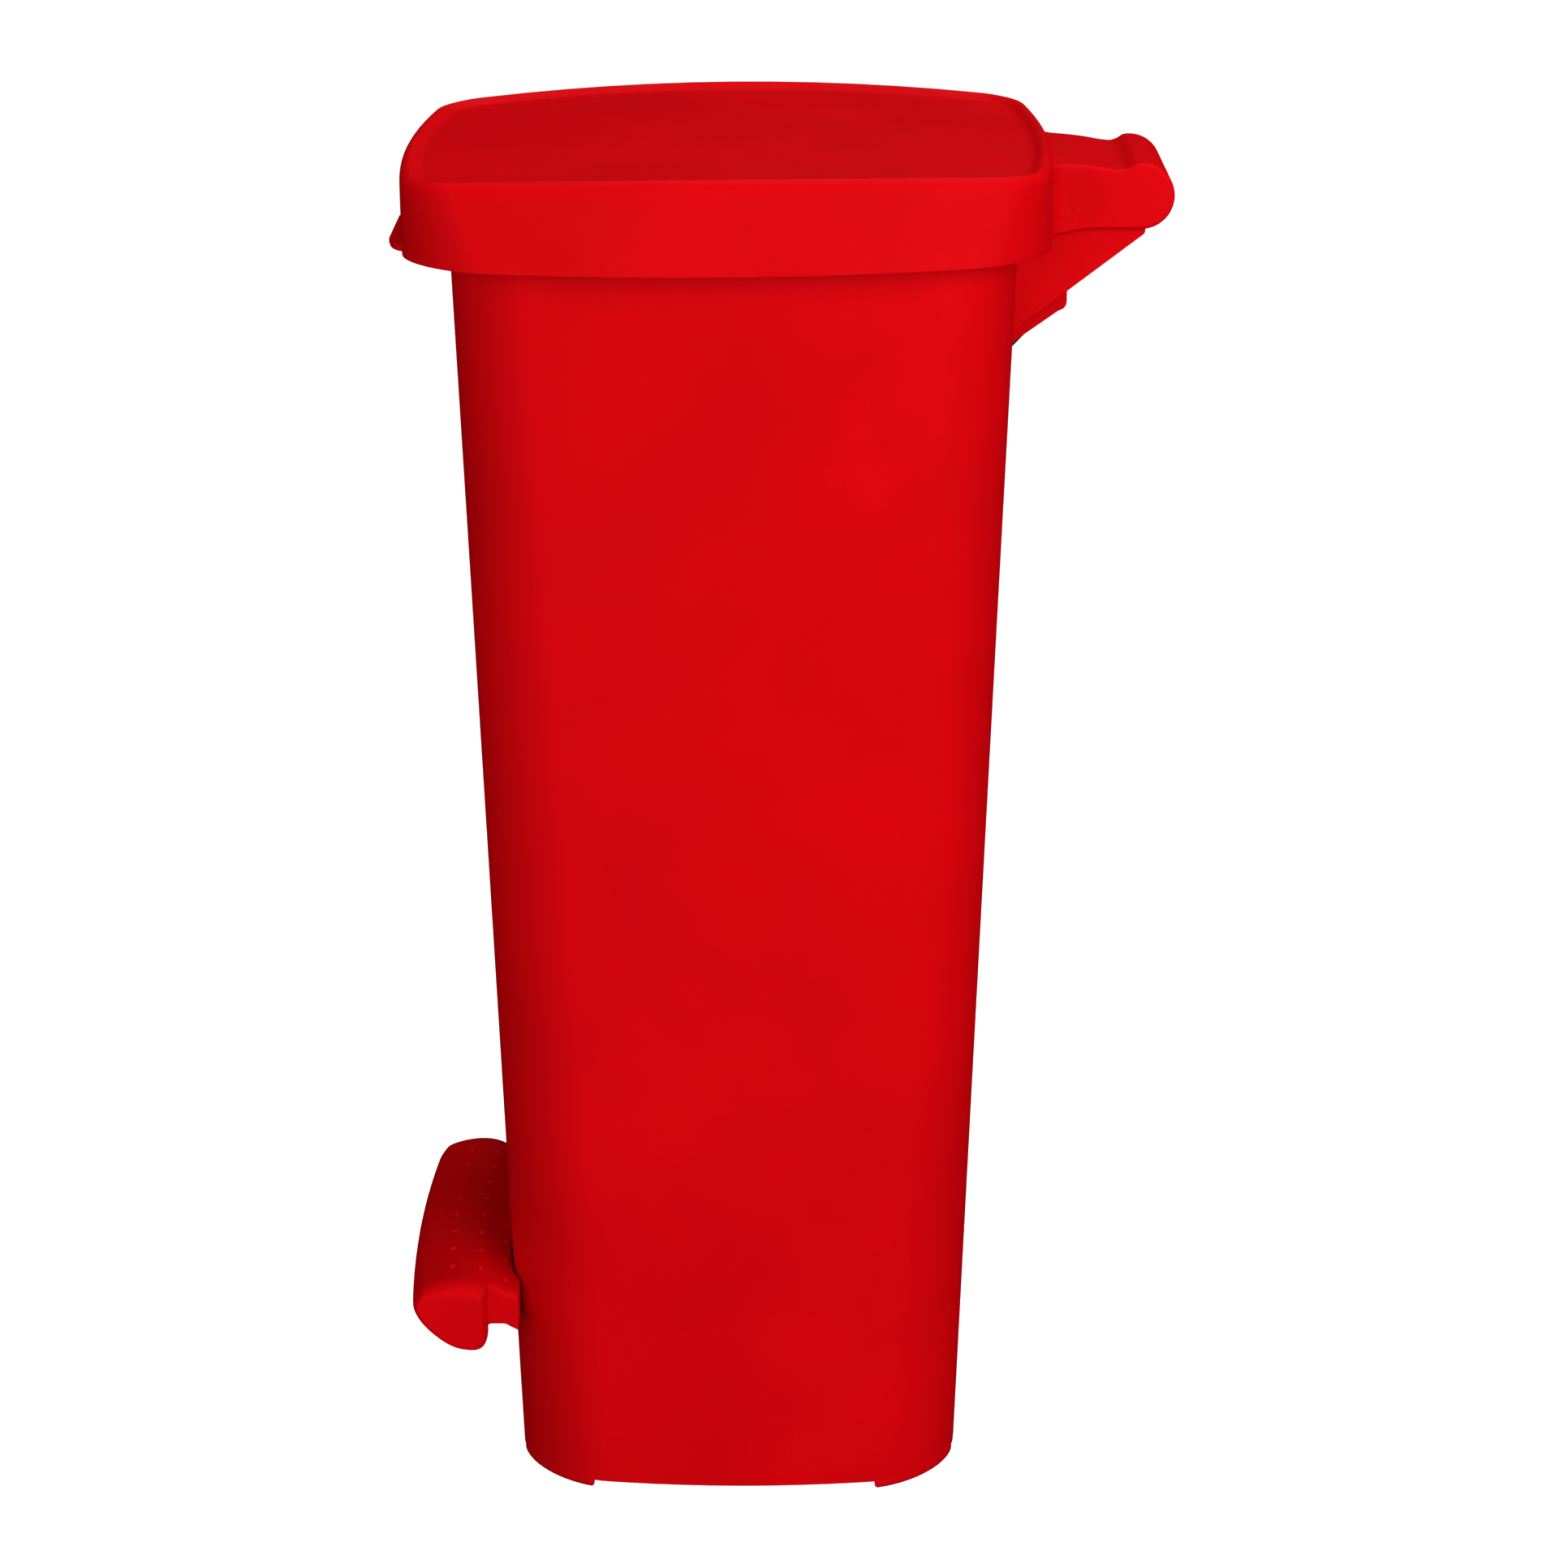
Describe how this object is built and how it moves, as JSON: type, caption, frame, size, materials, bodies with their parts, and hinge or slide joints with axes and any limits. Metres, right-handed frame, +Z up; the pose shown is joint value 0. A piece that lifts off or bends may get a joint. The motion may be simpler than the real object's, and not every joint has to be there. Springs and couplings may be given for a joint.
{
  "type": "pedal waste bin",
  "caption": "Tall red pedal-operated waste bin with a tapered body, a rear-hinged lid and a push rod that lifts the lid when the front pedal is pressed.",
  "frame": {"origin": "on the ground under the middle of the whole bin's length and width", "axes": "+Z up, +X from the pedal at the front towards the hinge at the back, +Y along the hinge pin"},
  "size_m": [0.4841, 0.3824, 0.8834],
  "materials": {
    "body_plastic": "fine-grained satin moulded polyethylene",
    "lid_plastic": "fine-grained satin moulded polyethylene",
    "pedal_plastic": "fine-grained satin moulded polypropylene",
    "foot_plastic": "satin moulded plastic, scuffed underneath",
    "nylon": "matt moulded nylon",
    "steel": "zinc-plated steel",
    "rubber": "matt moulded rubber"
  },
  "bodies": {
    "body": {"body_shell": "body_plastic", "hinge_bracket": "body_plastic", "bracket_rivet_1": "steel", "bracket_rivet_2": "steel", "bracket_rivet_3": "steel", "bracket_rivet_4": "steel", "foot_front_left": "foot_plastic", "foot_front_right": "foot_plastic", "foot_rear_left": "foot_plastic", "foot_rear_right": "foot_plastic", "hinge_bush_left": "nylon", "hinge_bush_right": "nylon", "axle_block_left": "nylon", "axle_block_right": "nylon", "rod_guide_lower": "nylon", "rod_guide_upper": "nylon"},
    "lid": {"lid_shell": "lid_plastic", "hinge_pin": "steel", "pin_cap_left": "steel", "pin_cap_right": "steel", "lid_bumper_1": "rubber", "lid_bumper_2": "rubber", "lid_bumper_3": "rubber", "lid_bumper_4": "rubber"},
    "pedal": {"pedal_plate": "pedal_plastic", "pedal_lever": "pedal_plastic", "pedal_axle": "steel", "pedal_screw_1": "steel", "pedal_screw_2": "steel"},
    "rod": {"push_rod": "steel", "rod_clip_lower": "steel", "rod_clip_upper": "steel"}
  },
  "joints": [
    {"name": "lid_hinge", "type": "hinge", "parent": "body", "child": "lid", "pos_m": [0.2217, 0, 0.8507], "axis": [0, 1, 0], "range_deg": [0, 60]},
    {"name": "pedal_hinge", "type": "hinge", "parent": "body", "child": "pedal", "pos_m": [-0.0375, 0, 0.06], "axis": [0, -1, 0], "range_deg": [0, 22.6]},
    {"name": "rod_slide", "type": "slide", "parent": "body", "child": "rod", "axis": [0.0314, 0, 0.9995], "range_m": [0, 0.0596]}
  ],
  "couplings": [
    {"joint": "pedal_hinge", "follows": "lid_hinge", "ratio": 0.3752},
    {"joint": "rod_slide", "follows": "lid_hinge", "m_per_rad": 0.056723}
  ]
}
